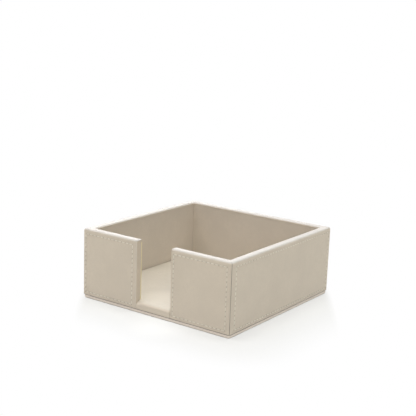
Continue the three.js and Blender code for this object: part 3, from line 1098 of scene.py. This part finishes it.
def board_finish(name, colour, fibre):
    """Pressed board or card: short fibres, specks and a faint layered tone."""
    make = Finish(name, roughness=0.85, specular=0.3)
    base = srgb(colour)
    fibres = make.noise(fibre, 5.0, stretch=(0.4, 0.4, 2.5))
    specks = make.noise(0.5, 2.0)
    tone = make.tones(fibres, base, dark=0.85, light=1.1)
    tone = make.blotched(tone, specks, shade(base, 0.6), low=0.62, high=0.72, strength=0.5)
    return make.finish(tone, make.bump(make.math("MULTIPLY", fibres, 0.08), 0.5))


def dress_hidden_nodes(board, card):
    """Gives the boards and the card, which stay as the CAD made them, their materials."""
    for name, node in frame["nodes"].items():
        if node.hide_render:
            continue
        for slot in node.material_slots:
            slot.material = card if name == "base_card" else board


def add_camera():
    """The camera at the photograph's place, angle and lens."""
    angles = (CAMERA_AZIMUTH, CAMERA_ELEVATION, CAMERA_ROLL)
    azimuth, elevation, roll = (math.radians(a) for a in angles)
    back = Vector((
        math.sin(azimuth) * math.cos(elevation),
        -math.cos(azimuth) * math.cos(elevation),
        math.sin(elevation),
    ))
    level_right = Vector((0, 0, 1)).cross(back).normalized()
    level_up = back.cross(level_right)
    right = math.cos(roll) * level_right + math.sin(roll) * level_up
    up = math.cos(roll) * level_up - math.sin(roll) * level_right
    data = bpy.data.cameras.new("camera")
    data.sensor_width = SENSOR_WIDTH
    data.lens = FOCAL_PIXELS / IMAGE_PIXELS * SENSOR_WIDTH
    data.clip_start = CLIP_START
    data.clip_end = CLIP_END
    camera = add_object("camera", data)
    axes = Matrix((right, up, back)).transposed().to_4x4()
    camera.matrix_world = Matrix.Translation(Vector(CAMERA_PLACE) * MM) @ axes
    bpy.context.scene.camera = camera


def add_lamp(name, azimuth, elevation, power, colour):
    """A square softbox that faces the holder, with azimuth 0 at the right and 90 behind."""
    data = bpy.data.lights.new(name, "AREA")
    data.shape = "SQUARE"
    data.size = LAMP_SIZE
    data.energy = power
    data.color = colour
    lamp = add_object(name, data)
    azimuth, elevation = math.radians(azimuth), math.radians(elevation)
    toward = Vector((
        math.cos(elevation) * math.cos(azimuth),
        math.cos(elevation) * math.sin(azimuth),
        math.sin(elevation),
    ))
    lamp.location = toward * LAMP_DISTANCE
    lamp.rotation_euler = toward.to_track_quat("Z", "Y").to_euler()


def table_finish():
    """White that takes a soft shadow near the holder, where a painted glow dims as a painted
    shadow and shines on the holder, and that turns to plain white further out.
    """
    material = bpy.data.materials.new("white_table")
    material.use_nodes = True
    graph = Graph(material.node_tree)
    place = graph.node("ShaderNodeTexCoord", {}).outputs["Object"]

    # The distance from the holder, which grows faster beyond its left and right as it is seen.
    origin = (0, 0, 0)
    half = (OUTER_WIDTH / 2 * MM, OUTER_DEPTH / 2 * MM, 0)
    folded = graph.vector("ABSOLUTE", place, origin)
    beyond = graph.vector("MAXIMUM", graph.vector("SUBTRACT", folded, half), origin)
    beyond = graph.vector("MULTIPLY", beyond, SHADOW_SCALE)
    around = graph.vector("LENGTH", beyond, origin, "Value")
    azimuth = math.radians(CAMERA_AZIMUTH)
    level = (math.cos(azimuth), math.sin(azimuth), 0)
    sideways = graph.math("ABSOLUTE", graph.vector("DOT_PRODUCT", place, level, "Value"), 0)
    sideways = graph.math("MAXIMUM", graph.math("SUBTRACT", sideways, SIDE_START), 0)
    inputs = {0: around, 1: graph.math("MULTIPLY", sideways, SIDE_HASTE)}
    both = graph.node("ShaderNodeCombineXYZ", inputs).outputs[0]
    distance = graph.vector("LENGTH", both, origin, "Value")

    # A painted glow, dimmer near the holder as a painted shadow, with a painted pool of light in
    # front of the notch; near the holder it also shines on it as painted light.
    from_notch = graph.vector("DISTANCE", place, NOTCH_LIGHT_PLACE, "Value")
    glow = graph.range(distance, 0, WHITE_DISTANCE, NEAR_WHITE, 1)
    glow = graph.math("ADD", glow, graph.range(from_notch, 0, NOTCH_LIGHT_REACH, NOTCH_LIGHT, 0))
    seen_share = graph.range(distance, 0, WHITE_DISTANCE, NEAR_SHARE, 1)
    lit_share = graph.range(distance, 0, WHITE_DISTANCE, NEAR_SHARE, 0)
    share = graph.mix_values(graph.seen_by_eye(), lit_share, seen_share)
    diffuse = graph.node("ShaderNodeBsdfDiffuse", {"Color": TABLE_COLOUR}).outputs[0]
    shine = graph.node("ShaderNodeEmission", {"Strength": glow}).outputs[0]
    surface = graph.node("ShaderNodeMixShader", {0: share, 1: diffuse, 2: shine}).outputs[0]
    graph.node("ShaderNodeOutputMaterial", {"Surface": surface})
    return material


def add_stage():
    """The table that the holder stands on."""
    mesh = bpy.data.meshes.new("table")
    reach = TABLE_REACH
    corners = [(-reach, -reach, 0), (reach, -reach, 0), (reach, reach, 0), (-reach, reach, 0)]
    mesh.from_pydata(corners, [], [(0, 1, 2, 3)])
    mesh.materials.append(table_finish())
    table = add_object("table", mesh)


def add_world():
    """White where it is seen, and a dimmer even light on the holder."""
    world = bpy.data.worlds.new("studio")
    world.use_nodes = True
    graph = Graph(world.node_tree)
    inputs = {"Value": graph.seen_by_eye(), "To Min": AMBIENT, "To Max": 1.0}
    strength = graph.node("ShaderNodeMapRange", inputs).outputs[0]
    inputs = {"Color": (1, 1, 1, 1), "Strength": strength}
    background = graph.node("ShaderNodeBackground", inputs)
    graph.node("ShaderNodeOutputWorld", {"Surface": background.outputs[0]})
    bpy.context.scene.world = world


add_camera()
add_world()
add_stage()
for lamp in LAMPS:
    add_lamp(*lamp)
bpy.context.scene.view_settings.view_transform = "Standard"

leather = leather_finish("taupe_leather", LEATHER_COLOUR, WEAR_AND_SHEEN_COLOUR)
lining = leather_finish("lining_leather", LINING_COLOUR, WEAR_AND_SHEEN_COLOUR)
floor = leather_finish("floor_leather", FLOOR_COLOUR, LIGHT_POOL_COLOUR, front=LEATHER_COLOUR)
plate = leather_finish("plate_leather", PLATE_COLOUR, PLATE_COLOUR)
thread = thread_finish()
raw_edge = raw_edge_finish()
board = board_finish("pressed_board", BOARD_COLOUR, BOARD_FIBRE)
card = board_finish("stiff_card", CARD_COLOUR, CARD_FIBRE)
walls = {row[0]: Wall(*row) for row in WALLS}
for wall in walls.values():
    add_cover(wall, leather)
    add_stitches(wall, thread)
    add_lining(wall, lining, raw_edge)
add_floor(walls, floor)
add_base(plate, felt_finish())
dress_hidden_nodes(board, card)
